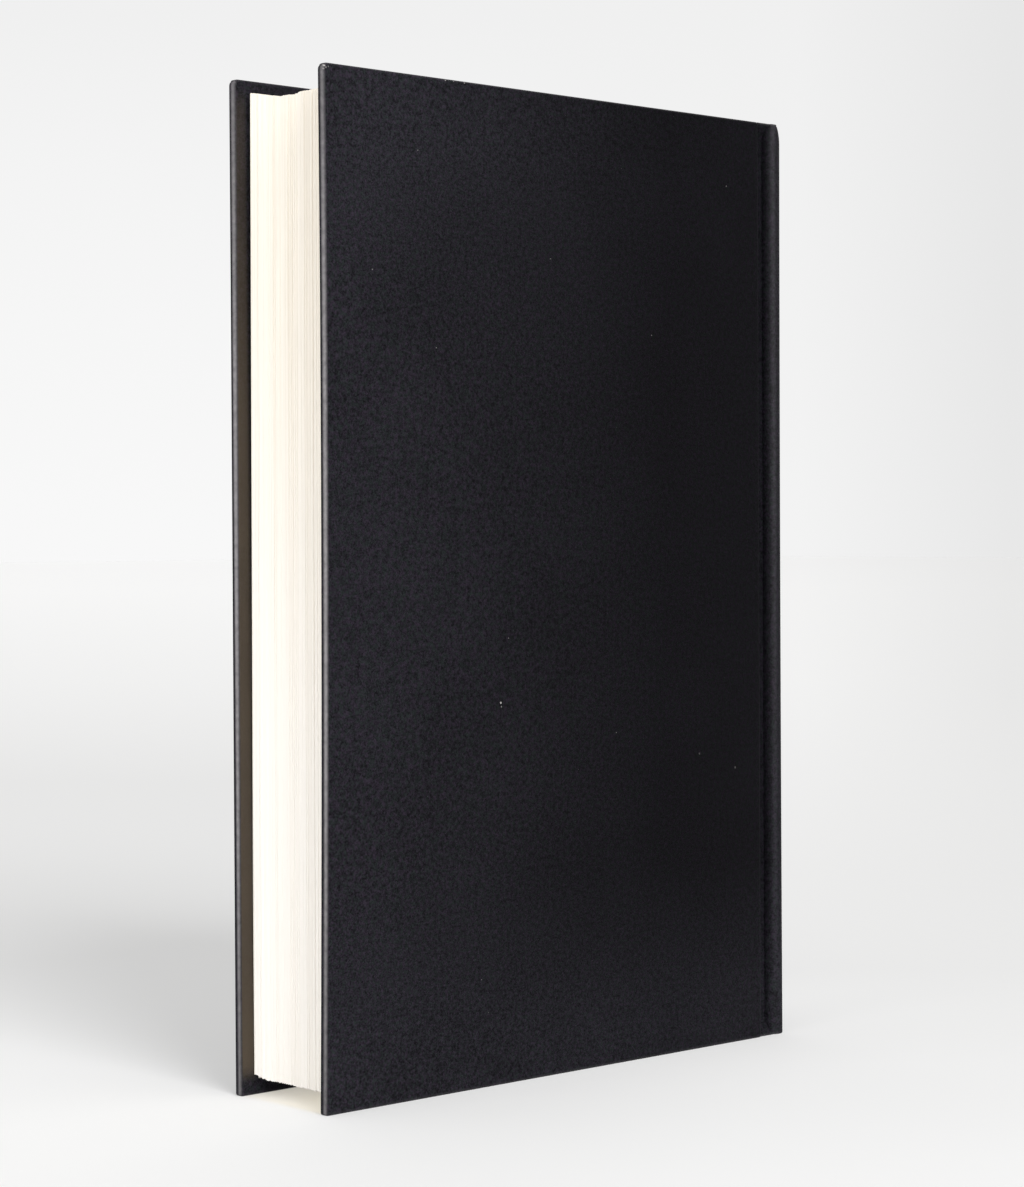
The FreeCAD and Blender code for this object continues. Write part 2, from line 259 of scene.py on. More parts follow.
def makeCovering(name):
    f = coveringFinish
    finish, tree, place = newFinish(name)
    x, y, z = tree.split(place)
    scales = f["scales"]
    mottle = tree.noise(place, scales["mottle"], 3.0, 0.65)
    grain = tree.noise(place, scales["grain"], 2.0, 0.6)
    cloud = tree.noise(place, scales["cloud"], 2.0, 0.5)
    cast = tree.held(0.5 + 3.5 * (tree.noise(place, scales["cast"], 1.0, 0.5) - 0.5))
    tone = tree.held(0.5 + 1.8 * (mottle - 0.5) + 2.1 * (grain - 0.5) + 0.4 * (cloud - 0.5))
    # painted light and sheen: lighter greys towards the fore-edge, the foot, the head near the fore-edge,
    # over the roll and past the groove
    fore = tree.held((f["foreLight"][0] - x) / f["foreLight"][1])
    foot = tree.eased((f["footLitTall"] - z) / f["footLitTall"]) * (1 - 0.6 * fore)
    headSheen = tree.eased((z - f["headSheen"][0]) / f["headSheen"][1]) * fore
    # painted highlight along the spine's roll
    onRoll = tree.eased((x - f["roll"][0]) / f["roll"][1])
    besideHighlight = tree.maths("ABSOLUTE", x - f["rollHighlight"][0]) / f["rollHighlight"][1]
    rollHighlight = onRoll * (0.3 + 0.7 * tree.eased(1 - besideHighlight))
    groove = tree.eased((x - f["groove"][0]) / f["groove"][1])
    paintedLight = 0.8 * fore + 0.45 * foot + 0.3 * headSheen + 0.75 * rollHighlight + 0.3 * groove
    paintedLightShare = tree.held(paintedLight + 0.12 * (cloud - 0.5))
    deep = tree.mixed(tone, f["dark"], tree.mixed(cast, *f["pale"]))
    colour = tree.mixed(paintedLightShare, deep, tree.mixed(tone, f["paintedLitDark"], tree.mixed(cast, *f["paintedLitPale"])))
    # painted sheen of the roll, in the rubbed grey
    paintedShine = rollHighlight * (0.012 + 0.055 * tree.eased(z / f["lightTall"]))
    colour = tree.mixed(paintedShine, colour, f["rubbedAndLit"])
    # real rubbing, with a painted highlight along the fore-edges
    wornAndLit = Value(tree, tree.add("ShaderNodeAttribute", {"attribute_name": "wear"}).outputs["Fac"])
    patchy = tree.noise(place, scales["patchy"], 3.0, 0.6)
    rubAndHighlight = tree.held(wornAndLit * (0.95 + 1.2 * (patchy - 0.5)))
    colour = tree.mixed(rubAndHighlight, colour, f["rubbedAndLit"])
    # painted bounce light on the turn-ins
    folded = Value(tree, tree.add("ShaderNodeAttribute", {"attribute_name": "folded"}).outputs["Fac"])
    colour = tree.mixed(tree.held(folded * (0.75 + 0.7 * (cloud - 0.5))), colour, f["inner"])
    onBack = y < f["backFace"]
    chips = 0.0
    for across, up, radius, strength in f["specks"]:
        far = ((x - across * mm) ** 2 + (z - up * mm) ** 2) ** 0.5
        chips = chips + tree.held((radius * mm - far) / (0.5 * radius * mm)) * strength
    colour = tree.mixed(tree.held(chips * onBack), colour, f["chipped"])
    rough = 0.52 + 0.16 * mottle + 0.1 * rubAndHighlight
    height = grain + 0.6 * mottle
    coat(tree, colour, rough, height, 0.00012, 0.35, {"Specular IOR Level": 0.05})
    return finish


leafFinish = {
    "light": tint(250, 246, 240),
    "shade": tint(228, 221, 211),
    "headLight": tint(249, 243, 233),  # a little yellower towards the head
    "headShade": tint(224, 214, 196),
}


def makeLeaf(name):
    f = leafFinish
    finish, tree, place = newFinish(name)
    x, y, z = tree.split(place)
    along = tree.joined(x * 0.02, y, z * 0.012)
    streak = tree.noise(along, 2100.0, 3.0, 0.7)
    broad = tree.noise(along, 260.0, 2.0, 0.5)
    fibre = tree.noise(place, 1400.0, 3.0, 0.6)
    tone = Value(tree, tree.add("ShaderNodeAttribute", {"attribute_name": "leafTone"}).outputs["Fac"])
    headShare = tree.eased((z - 0.05) / 0.14)
    # darker streaks: painted shade between the leaves, with random tone of single leaves, stronger towards
    # the head
    toneAndShade = 0.45 * tree.held((streak - 0.5) * 2.6) + 0.25 * tone + 0.2 * (broad - 0.45)
    toneAndShade = tree.held(toneAndShade * (0.15 + 0.85 * headShare))
    # a little yellower and darker towards the head
    colour = tree.mixed(headShare, f["light"], f["headLight"])
    colour = tree.mixed(toneAndShade, colour, tree.mixed(headShare, f["shade"], f["headShade"]))
    coat(tree, colour, 0.86 + 0.08 * fibre, streak + 0.3 * fibre, 0.0001, 0.3, {"Specular IOR Level": 0.2})
    return finish


paperFinishes = {
    "endpaper": {"light": tint(246, 242, 232), "shade": tint(228, 221, 206), "fibre": 900.0},
    "greyboard": {"light": tint(176, 168, 152), "shade": tint(128, 120, 106), "fibre": 520.0},
    "kraft": {"light": tint(184, 148, 106), "shade": tint(150, 116, 78), "fibre": 700.0},
}


def makePaper(name):
    f = paperFinishes[name]
    finish, tree, place = newFinish(name)
    x, y, z = tree.split(place)
    long = tree.joined(x, y, z * 0.35)
    fibre = tree.noise(long, f["fibre"], 4.0, 0.65)
    fleck = tree.noise(place, f["fibre"] * 3.5, 2.0, 0.7)
    cloud = tree.noise(place, 45.0, 3.0, 0.5)
    tone = tree.held(0.35 + 1.2 * (fibre - 0.5) + 1.2 * (fleck - 0.5) + 0.8 * (cloud - 0.5))
    colour = tree.mixed(tone, f["light"], f["shade"])
    coat(tree, colour, 0.84 + 0.1 * fibre, fibre + 0.4 * fleck, 0.00008, 0.3, {"Specular IOR Level": 0.25})
    return finish


clothFinishes = {
    "gauze": {"thread": tint(236, 230, 214), "gap": tint(168, 158, 138), "across": 0.9, "height": 0.00012},
    "band": {"thread": tint(240, 234, 218), "gap": tint(178, 166, 142), "across": 0.32, "height": 0.00006},
}


def makeCloth(name):
    f = clothFinishes[name]
    finish, tree, place = newFinish(name)
    x, y, z = tree.split(place)
    turn = 2 * math.pi / (f["across"] * mm)
    weft = tree.maths("SINE", (x + y) * turn) * 0.5 + 0.5
    warp = tree.maths("SINE", z * turn) * 0.5 + 0.5
    weave = tree.maths("MAXIMUM", weft, warp)
    fuzz = tree.noise(place, 2200.0, 3.0, 0.6)
    cover = tree.held(weave * 1.3 - 0.25 + 0.5 * (fuzz - 0.5))
    colour = tree.mixed(cover, f["gap"], f["thread"])
    rough, height = 0.82 + 0.12 * fuzz, weave + 0.3 * fuzz
    coat(tree, colour, rough, height, f["height"], 0.6, {"Specular IOR Level": 0.2})
    return finish


covering = makeCovering("black_covering")
leafPaper = makeLeaf("leaf_paper")
endpaper = makePaper("endpaper")
greyboard = makePaper("greyboard")
kraft = makePaper("kraft")
gauze = makeCloth("gauze")
bandCloth = makeCloth("band")
print("finishes made")


# Mesh helpers: points are in millimetres until the mesh is made


def newPiece(name, points, faces, finish, sharp=35, outward=True):
    mesh = bpy.data.meshes.new(name)
    mesh.from_pydata([Vector(p) * mm for p in points], [], faces)
    if outward:
        work = bmesh.new()
        work.from_mesh(mesh)
        bmesh.ops.recalc_face_normals(work, faces=work.faces)
        work.to_mesh(mesh)
        work.free()
    mesh.materials.append(finish)
    mesh.shade_smooth()
    mesh.set_sharp_from_angle(angle=math.radians(sharp))
    piece = bpy.data.objects.new(name, mesh)
    scene.collection.objects.link(piece)
    return piece


def settle(piece, sharp=35):
    graph = bpy.context.evaluated_depsgraph_get()
    mesh = bpy.data.meshes.new_from_object(piece.evaluated_get(graph))
    piece.modifiers.clear()
    piece.data = mesh
    if sharp is not None:
        mesh.shade_smooth()
        mesh.set_sharp_from_angle(angle=math.radians(sharp))
    return piece


def spread(start, end, parts):
    return [lerp(start, end, n / parts) for n in range(parts + 1)]


def sweepRings(rings, closed=True):
    points, faces = [], []
    size = len(rings[0])
    for ring in rings:
        points.extend(ring)
    for row in range(len(rings) - 1):
        for n in range(size if closed else size - 1):
            m = (n + 1) % size
            faces.append((row * size + n, row * size + m, (row + 1) * size + m, (row + 1) * size + n))
    return points, faces


def solidSweep(name, rings, finish, sharp=35):
    points, faces = sweepRings(rings)
    size = len(rings[0])
    half = size // 2  # the first half of each ring is one side, and the rest comes back
    last = (len(rings) - 1) * size
    for base in (0, last):
        for n in range(half - 1):
            faces.append((base + n, base + n + 1, base + size - 2 - n, base + size - 1 - n))
    return newPiece(name, points, faces, finish, sharp)


# How the covers and leaves have warped
warp = {
    "nearBow": 0.45,  # back cover's fore-edge, out at mid-height
    "nearEnds": 0.70,  # less this at the head and tail
    "farHead": 0.90,  # front cover's fore-edge, out at the head
    "farTail": -0.57,  # and in at the tail
    "cornerPull": 1.1,  # spine's head corner, drawn in over the back cover's shoulder
    "cornerTall": 5.0,
    "spineHollow": 0.2,
}


def leanOut(side, x, z):
    reach = clamp((jointX - x) / (jointX - foreX))
    level = 2 * z / tall - 1
    if side < 0:
        return reach * (warp["nearBow"] - warp["nearEnds"] * level**2)
    return reach * lerp(warp["farTail"], warp["farHead"], (level + 1) / 2)


def onCover(side, x, y, z):
    return (x, side * (y + leanOut(side, x, z)), z)


def spineDraw(x, y, z):
    share = smooth((x - 66.3) / 3)
    level = 2 * z / tall - 1
    pull = warp["spineHollow"] * (1 - level**2)
    near = smooth((-y - 6) / 8)
    rise = clamp((z - tall + warp["cornerTall"]) / warp["cornerTall"])
    pull += warp["cornerPull"] * near * rise**2.4
    return (x - pull * share, y, z)


# The covering: rings across the plan, with rounded arrises and its turn-ins
case = {
    "spineRadius": 72.51,
    "rollRadius": 2.8,
    "rollX": 69.15,
    "floorOut": 13.75,
    "floorIn": 13.36,
    "endLift": 2.0,  # the groove fills up towards the head and tail
    "endFill": 4.5,
    "inlayDeep": 1.1,  # covering, inlay and turn-in together
    "joinDeep": 0.25,  # and more where the spine's arc runs into the roll
    "inlayThick": 0.8,
    "folded": 0.4,  # covering and turn-in together
    "headEase": 0.6,  # rounding along the head
    "tailEase": 0.3,  # and along the tail
    "headArris": 1.05,  # rounding of the fore-edge at the head
    "tailArris": 0.6,  # and at the tail
    "jointArris": 0.9,
    # rounding of a cover's two corners, seen from its face
    "headCorner": 1.4,
    "tailCorner": 0.45,
    "turnIn": 15.0,
    "spineTurnIn": 12.0,
    "skin": 0.19,
}


def foreArris(z):
    return lerp(case["tailArris"], case["headArris"], smooth(z / tall))


def grooveLift(z):
    return case["endLift"] * smooth((case["endFill"] - min(z, tall - z)) / case["endFill"]) ** 1.5


def caseRows():
    ends = []
    for ease in (case["tailEase"], case["headEase"]):
        steps = []
        for n in range(5):
            angle = math.radians(90 - 22.5 * n)
            steps.append((ease * (1 - math.sin(angle)), ease * (1 - math.cos(angle))))
        for z in (0.75, 1.0, 1.4, 2.0, 3.0, 4.0, 5.0, 6.5, 9.0, case["spineTurnIn"], case["turnIn"]):
            steps.append((z, 0.0))
        ends.append(steps)
    high = [(tall - z, inset) for z, inset in reversed(ends[1])]
    middle = [(z, 0.0) for z in spread(case["turnIn"], tall - case["turnIn"], 26)[1:-1]]
    return ends[0] + middle + high


def spineStations(z):
    c = case
    floorOut, floorIn = c["floorOut"] + grooveLift(z), c["floorIn"] + grooveLift(z)
    centreX = spineBack - c["spineRadius"]
    rollY = coverOut - c["rollRadius"]
    join = math.atan2(rollY, c["rollX"] - centreX)
    stations = []
    for angle in spread(0, join, 10):
        way = Vector((math.cos(angle), math.sin(angle)))
        start = Vector((centreX, 0))
        deep = c["inlayDeep"] + c["joinDeep"] * (angle / join) ** 2
        stations.append((start + way * c["spineRadius"], start + way * (c["spineRadius"] - deep)))
    end = math.pi - math.asin((floorOut - rollY) / c["rollRadius"])
    centre = Vector((c["rollX"], rollY))
    for n, angle in enumerate(spread(join, end, 22)[1:-1], start=1):
        way = Vector((math.cos(angle), math.sin(angle)))
        deep = max(c["folded"], c["inlayDeep"] + c["joinDeep"] - 0.3 * n)
        stations.append((centre + way * c["rollRadius"], centre + way * (c["rollRadius"] - deep)))
    foot = centre + Vector((math.cos(end), math.sin(end))) * c["rollRadius"]
    stations.append((foot, Vector((foot.x + 0.33, floorIn + 0.04))))
    return stations


def coverStations(z):
    c = case
    lift = grooveLift(z)
    floorOut, floorIn = c["floorOut"] + lift, c["floorIn"] + lift
    stations = [spineStations(z)[-1]]
    for x in (65.9, 65.5, 65.0, 64.5, 64.2, 63.9, 63.6, 63.35):
        stations.append((Vector((x, floorOut)), Vector((x, floorIn))))
    ease = c["jointArris"]
    wall = [
        (63.12, 13.78, 63.05, 13.44),
        (62.96, 13.86, 62.90, 13.56),
        (62.88, 13.98, 62.80, 13.68),
        (62.85, 14.15, 62.70, 13.77),
        (62.85, coverOut - ease, 62.55, turnFace),
    ]
    for n, (a, b, p, q) in enumerate(wall):
        outer = Vector((a, max(b, floorOut + 0.02 * n)))
        stations.append((outer, Vector((p, q + lift * (1 - n / 4)))))
    for n in range(1, 6):
        angle = math.radians(18 * n)
        y = coverOut - ease * (1 - math.sin(angle))
        outer = Vector((jointX - ease * (1 - math.cos(angle)), max(y, floorOut + 0.08 + 0.02 * n)))
        stations.append((outer, Vector((62.5 - 0.12 * n, turnFace))))
    start = foreX + foreArris(z)
    xs = spread(61.0, foreX + c["turnIn"], 12) + [-60.0, -64.0, -67.0, -68.6, -69.2, -69.8, -70.4]
    xs += [start + 1.0, start + 0.6, start + 0.3, start]
    stations += [(Vector((x, coverOut)), Vector((x, turnFace))) for x in xs]
    return stations


def foreEdgePoints(ease):
    # round the outer arris, along the edge and round the inner arris
    arc = [math.radians(18 * n) for n in range(1, 6)]
    outer = [(foreX + ease * (1 - math.sin(a)), coverOut - ease * (1 - math.cos(a))) for a in arc]
    flat = [(foreX, y) for y in spread(coverOut - ease, turnFace + ease, 6)[1:-1]]
    inner = [(foreX + ease * (1 - math.sin(a)), turnFace + ease * (1 - math.cos(a))) for a in arc[::-1]]
    return [Vector(point) for point in outer + flat + inner]


def roundedCorner(x, z):
    radius = case["headCorner"] if z > tall / 2 else case["tailCorner"]
    across = (foreX + radius - x) / radius
    up = (z - tall + radius) / radius if z > tall / 2 else (radius - z) / radius
    if across <= 0 or up <= 0:
        return x, z
    share = max(across, up) / math.hypot(across, up)
    newX = foreX + radius - across * share * radius
    newUp = up * share * radius
    return newX, (tall - radius + newUp if z > tall / 2 else radius - newUp)


# The fore-edges are rubbed grey, and carry a painted highlight along their middle, most at mid-height
rubbingAndHighlight = {
    "ends": 0.22,
    "corner": 0.56,
    "middle": 0.46,
    "centre": {-1: 0.72, 1: 0.30},  # where the painted highlight runs, of the way out, on the back and front cover
    "sharpWide": 0.30,
    "tailWide": 0.34,
    "headWide": 0.56,
}


def wearAndHighlightAt(side, x, y, z):
    r = rubbingAndHighlight
    ease = foreArris(z)
    wornAndLit = r["ends"] * smooth((0.45 - min(tall - z, z)) / 0.45)
    if x > foreX + ease or side == 0:
        return wornAndLit
    outward = (y - turnFace) / (coverOut - turnFace) - r["centre"][side]
    across = clamp((foreX + ease - x) / ease)
    level = 2 * z / tall - 1
    wide = lerp(r["tailWide"], r["headWide"], smooth(z / tall))
    wide = r["sharpWide"] if outward * side > 0 else wide
    # painted highlight across the rounded fore-edge
    crown = smooth(1 - abs(outward) / wide) * smooth((across - 0.35) / 0.5)
    return max(wornAndLit, crown * (r["corner"] + r["middle"] * (1 - level**2)))


def pageBounceAt(x, y, z):
    if y > turnFace + 0.06 or x > foreX + case["turnIn"] + 1:
        return 0.0
    # painted bounce light, weaker towards the head and gone at both ends, where shade falls
    bounce = lerp(0.35, 1.0, clamp((tall - 8 - z) / 70)) * smooth((tall - 1 - z) / 6) * smooth((z - 2.5) / 4)
    return bounce * smooth((lerp(-68.6, -69.6, z / tall) - x) / 1.2)  # painted shade beside the leaves


def makeSheet(name, side, rings, stations, windowFrom, windowRows, place, extra):
    size = len(rings[0])
    count = len(stations)
    points, faces = [], []
    for ring in rings:
        points.extend(place(*p) for p in ring)
    for row in range(len(rings) - 1):
        for n in range(size):
            m = (n + 1) % size
            if row in windowRows and n >= windowFrom:
                continue
            faces.append((row * size + n, row * size + m, (row + 1) * size + m, (row + 1) * size + n))
    for base in (0, (len(rings) - 1) * size):
        for n in range(count - 1):
            faces.append((base + n, base + n + 1, base + size - 2 - n, base + size - 1 - n))
        if extra:
            faces.append(tuple(base + n for n in range(count - 1, count + extra + 1)))
    piece = newPiece(name, points, faces, covering)
    flat = [p for ring in rings for p in ring]
    wear = piece.data.attributes.new("wear", "FLOAT", "POINT")
    wear.data.foreach_set("value", [wearAndHighlightAt(side, *p) for p in flat])
    pageBounce = piece.data.attributes.new("folded", "FLOAT", "POINT")
    pageBounce.data.foreach_set("value", [pageBounceAt(*p) for p in flat])
    shell = piece.modifiers.new("skin", "SOLIDIFY")
    shell.thickness, shell.offset, shell.use_even_offset = case["skin"] * mm, -1, True
    settle(piece)
    piece.name = piece.data.name = name
    return piece


def ringAt(stations, extras, z, inset):
    ease = foreArris(z)
    outers, inners = [], []
    for outer, inner in stations:
        gap = (outer - inner).length
        share = min(inset, 0.42 * gap) / gap
        outers.append(outer.lerp(inner, share))
        inners.append(inner.lerp(outer, share))
    middle = (coverOut + turnFace) / 2
    edge = []
    for point in extras:
        deep = clamp((foreX + ease - point.x) / ease)
        y = lerp(point.y, middle, min(1.0, inset / (coverOut - middle)))
        edge.append(Vector((point.x + inset * deep, y)))
    ring = outers + edge + inners[::-1]
    return [(p.x, p.y, z) for p in ring]


def openRows(rows, turn):
    # rows between the turn-ins at the head and tail, which have no inner layer
    low, high = turn - 0.01, tall - turn + 0.01
    return {n for n in range(len(rows) - 1) if rows[n][0] >= low and rows[n + 1][0] <= high}


def makeCoverWrap(side):
    rows = caseRows()
    stations, extras = coverStations(tall / 2), foreEdgePoints(foreArris(tall / 2))
    rings = [ringAt(coverStations(z), foreEdgePoints(foreArris(z)), z, inset) for z, inset in rows]
    inner = foreX + case["turnIn"]
    middle = rings[len(rings) // 2]
    insideFrom = len(stations) + len(extras)
    windowFrom = next(n for n in range(insideFrom, len(middle)) if middle[n][0] >= inner - 0.01)
    windowRows = openRows(rows, case["turnIn"])

    def place(x, y, z):
        newX, newZ = roundedCorner(x, z)
        return onCover(side, newX, y, newZ)

    name = f"{coverOf[side]}_cover_wrap"
    piece = makeSheet(name, side, rings, stations, windowFrom, windowRows, place, len(extras))
    # the sheets inside it bend over wider stretches, which keeps them in front of it
    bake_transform(piece)
    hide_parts(f"{coverOf[side]}_covering")
    return piece


def makeSpineWrap():
    rows = caseRows()
    rings = []
    for z, inset in rows:
        half = spineStations(z)
        stations = [(Vector((o.x, -o.y)), Vector((i.x, -i.y))) for o, i in reversed(half[1:])] + half
        rings.append(ringAt(stations, [], z, inset))
    windowRows = openRows(rows, case["spineTurnIn"])
    count = len(stations)
    # the joins beside the grooves stay open where there is no turn-in
    piece = makeSheet("spine_wrap", 0, rings, stations, count - 1, windowRows, spineDraw, 0)
    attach(piece, book)
    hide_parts("spine_covering")
    return piece


for side in (1, -1):
    makeCoverWrap(side)
makeSpineWrap()
print("covering made")


# Boards, gauze flaps and pastedowns, which bend with their covers


boardShape = {"under": 0.17, "endEase": 0.45, "innerEase": 0.3, "rows": 30}


def quarter(corner, wayX, wayY, radius, first=True):
    # points round one corner of a section, from its side to its face, or the other way
    points = []
    for n in range(5):
        angle = math.radians(22.5 * n)
        across, over = radius * (1 - math.cos(angle)), radius * (1 - math.sin(angle))
        points.append((corner[0] - wayX * across, corner[1] - wayY * over))
    return points if first else points[::-1]


def makeBoard(side):
    b = boardShape
    levels = []
    for angle in (90, 60, 30, 0):
        turn = math.radians(angle)
        levels.append((b["endEase"] * (1 - math.sin(turn)), b["endEase"] * (1 - math.cos(turn))))
    rows = [(boardLow.z + z, inset) for z, inset in levels]
    plain = spread(boardLow.z + b["endEase"], boardHigh.z - b["endEase"], b["rows"])[1:-1]
    rows += [(z, 0.0) for z in plain]
    rows += [(boardHigh.z - z, inset) for z, inset in reversed(levels)]
    rings = []
    for z, inset in rows:
        left, right = boardLow.x + inset, boardHigh.x - inset
        inside, outside = boardLow.y + inset, boardHigh.y - inset
        fore, joint = foreArris(z) - b["under"], case["jointArris"] - b["under"]
        xs = spread(left + fore + 1, right - joint - 1, 6)
        front = quarter((left, outside), -1, 1, fore) + [(x, outside) for x in xs]
        front += quarter((right, outside), 1, 1, joint, False)
        back = quarter((left, inside), -1, -1, fore) + [(x, inside) for x in xs]
        back += quarter((right, inside), 1, -1, b["innerEase"], False)
        ring = []
        for x, y in front + back[::-1]:
            newX, newZ = roundedCorner(x, z)
            ring.append(onCover(side, newX, y, newZ))
        rings.append(ring)
    piece = solidSweep(f"{coverOf[side]}_board_blank", rings, greyboard)
    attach(piece, f"{coverOf[side]}_cover")
    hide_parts(f"{coverOf[side]}_board")


def sheetSolid(name, xs, zs, faceAt, backAt, place, finish):
    rings = []
    for z in zs:
        front = [(x, faceAt(x, z)) for x in xs]
        back = [(x, backAt(x, z)) for x in reversed(xs)]
        rings.append([place(x, y, z) for x, y in front + back])
    return solidSweep(name, rings, finish)


# The thin web that gauze and endpaper leave over the joint: its stations, its face and its thickness
web = {
    "stations": [62.8, 62.95, 63.1, 63.3, 63.6, 63.9, 64.1],
    "fullX": 63.3,
    "gauzeEnd": 64.35,
    "gauzeFace": 13.41,
    "gauzeThick": 0.1,
    "paperStart": 62.6,
    "paperEnd": 64.25,
    "paperFace": 13.31,
    "paperThick": 0.04,
    "step": 0.5,  # width of the pastedown's step off the turn-ins and the gauze
}


def makeFlap(side):
    def thinned(x):
        return smooth((x - flapHigh.x) / (web["fullX"] - flapHigh.x))

    def faceAt(x, z):
        return lerp(flapLow.y, web["gauzeFace"], thinned(x))

    def backAt(x, z):
        return faceAt(x, z) + lerp(sheet, web["gauzeThick"], thinned(x))

    xs = spread(flapLow.x, flapHigh.x, 5) + web["stations"] + [web["gauzeEnd"]]
    zs = spread(flapLow.z, flapHigh.z, 30)
    place = lambda x, y, z: onCover(side, x, y, z)
    piece = sheetSolid(f"{coverOf[side]}_gauze_flap", xs, zs, faceAt, backAt, place, gauze)
    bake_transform(piece)
    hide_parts(f"{coverOf[side]}_mull_flap")


def makePastedown(side):
    turn, step = case["turnIn"], web["step"]
    inner = foreX + turn

    def wellAt(x, z):  # steps down past the turn-ins and the gauze
        inside = smooth((x - inner) / step) * smooth((flapLow.x - x) / step)
        return inside * smooth((z - turn) / step) * smooth((tall - turn - z) / step)

    def thinned(x):
        return smooth((x - web["paperStart"]) / 0.7)

    def faceAt(x, z):
        return lerp(pasteLow.y + sheet * wellAt(x, z), web["paperFace"], thinned(x))

    def backAt(x, z):
        return faceAt(x, z) + lerp(sheet, web["paperThick"], thinned(x))

    xs = [pasteLow.x, inner - 1] + spread(inner, inner + step, 4) + spread(inner + 8, flapLow.x - 8, 8)
    xs += spread(flapLow.x - step, flapLow.x, 4) + [45, 54, 62.0, web["paperStart"]]
    xs += web["stations"] + [web["paperEnd"]]
    zs = [pasteLow.z, 9.0] + spread(turn, turn + step, 4) + spread(turn + 6, tall - turn - 6, 26)
    zs += spread(tall - turn - step, tall - turn, 4) + [tall - 9.0, pasteHigh.z]
    place = lambda x, y, z: onCover(side, x, y, z)
    piece = sheetSolid(f"{coverOf[side]}_paste_leaf", xs, zs, faceAt, backAt, place, endpaper)
    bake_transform(piece)
    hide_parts(f"{coverOf[side]}_pastedown")


for side in (1, -1):
    makeBoard(side)
    makeFlap(side)
    makePastedown(side)
print("boards, gauze and pastedowns made")


# Leaves: each is rounded and backed at the spine, and hangs down a little at the fore-edge
leaves = {
    "count": 112,
    "rise": 2.6,
    "backRadius": 34.3,
    "tipY": leafHigh.y,
    "flare": 1.0,
    "heldX": 65.1,
    # the fore-edge's ends, up from where the spine holds them
    "headMiddle": -0.9,
    "headRidge": 0.3,
    "headNear": -0.25,
    "headFar": 1.3,
    "tailMiddle": -0.37,
    "tailRise": 0.28,
    "tailFar": 1.04,
    "foreOut": 0.15,
    "foreJitter": 0.10,
    "endJitter": 0.12,
}
headZ, tailZ = leafHigh.z, leafHigh.z - 215.0


def leafPoint(across, y, up, kit, foreShift=0.0, headShift=0.0, tailShift=0.0):
    # works on plain numbers and on node values alike
    l = leaves
    ratio = y / halfPages
    fore = leafLow.x - l["foreOut"] + l["rise"] * (1 - ratio * ratio) + foreShift
    tip = ratio * l["tipY"]
    back = leafHigh.x - l["backRadius"] + (l["backRadius"] ** 2 - tip * tip) ** 0.5
    x = fore + (back - fore) * across
    flare = kit.held((x - back + l["flare"]) / l["flare"])
    loose = kit.held((l["heldX"] - x) / (l["heldX"] - leafLow.x))
    head = l["headMiddle"] + l["headFar"] * kit.held((ratio - 0.46) / 0.54)
    head = head + l["headRidge"] * kit.eased((0.2 - ratio) / 0.27)
    head = headZ + loose * (head + l["headNear"] * kit.held((-0.07 - ratio) / 0.6) + headShift)
    lifted = kit.held((ratio - 0.577) / 0.423)
    tail = l["tailMiddle"] + l["tailRise"] * kit.held((ratio - 0.13) / 0.45)
    tail = tail + l["tailFar"] * lifted * lifted
    tail = tailZ + loose * (tail + tailShift)
    z = tail + (head - tail) * up
    reach = kit.held((jointX - x) / (jointX - foreX))
    cover = warp["farTail"] + (warp["farHead"] - warp["farTail"]) * (z / tall)
    pressed = kit.held(0 - cover - 0.27, 0.0, 2.0) * reach * (ratio + 1) * 0.5
    newY = y * (1 + (l["tipY"] / halfPages - 1) * flare) - pressed
    return x, newY, z


class Plain:
    def held(self, value, low=0.0, high=1.0):
        return clamp(value, low, high)

    def eased(self, value):
        return smooth(value)


def newGeometryTree(name, sizes):
    group = bpy.data.node_groups.new(name, "GeometryNodeTree")
    group.interface.new_socket("Geometry", in_out="INPUT", socket_type="NodeSocketGeometry")
    group.interface.new_socket("Geometry", in_out="OUTPUT", socket_type="NodeSocketGeometry")
    idents = {}
    for size, value in sizes.items():
        kind = "NodeSocketInt" if isinstance(value, int) else "NodeSocketFloat"
        idents[size] = group.interface.new_socket(size, in_out="INPUT", socket_type=kind).identifier
    tree = Tree(group)
    start = tree.add("NodeGroupInput")
    inputs = {size: Value(tree, start.outputs[size]) for size in sizes}
    return group, tree, start, inputs, idents


def applyTree(piece, group, idents, sizes):
    grower = piece.modifiers.new("grow", "NODES")
    grower.node_group = group
    for size, value in sizes.items():
        grower[idents[size]] = value
    return settle(piece, None)


def storeField(tree, geometry, name, value):
    inputs = {"Geometry": geometry, "Name": name, "Value": value}
    kind = {"data_type": "FLOAT", "domain": "POINT"}
    return tree.add("GeometryNodeStoreNamedAttribute", kind, inputs).outputs[0]


def readField(tree, name):
    node = tree.add("GeometryNodeInputNamedAttribute", {"data_type": "FLOAT"}, {"Name": name})
    return Value(tree, node.outputs[0])


def randomField(tree, seed, ident, low, high):
    inputs = {2: low, 3: high, "ID": ident, "Seed": seed}
    node = tree.add("FunctionNodeRandomValue", {"data_type": "FLOAT"}, inputs)
    return Value(tree, node.outputs[1])


def unevenness(tree, seed, order, gathering, share):
    # of single leaves, and of whole gatherings by a share of that
    single = randomField(tree, seed, order, -1.0, 1.0)
    return single + share * randomField(tree, seed + 1, gathering, -1.0, 1.0)


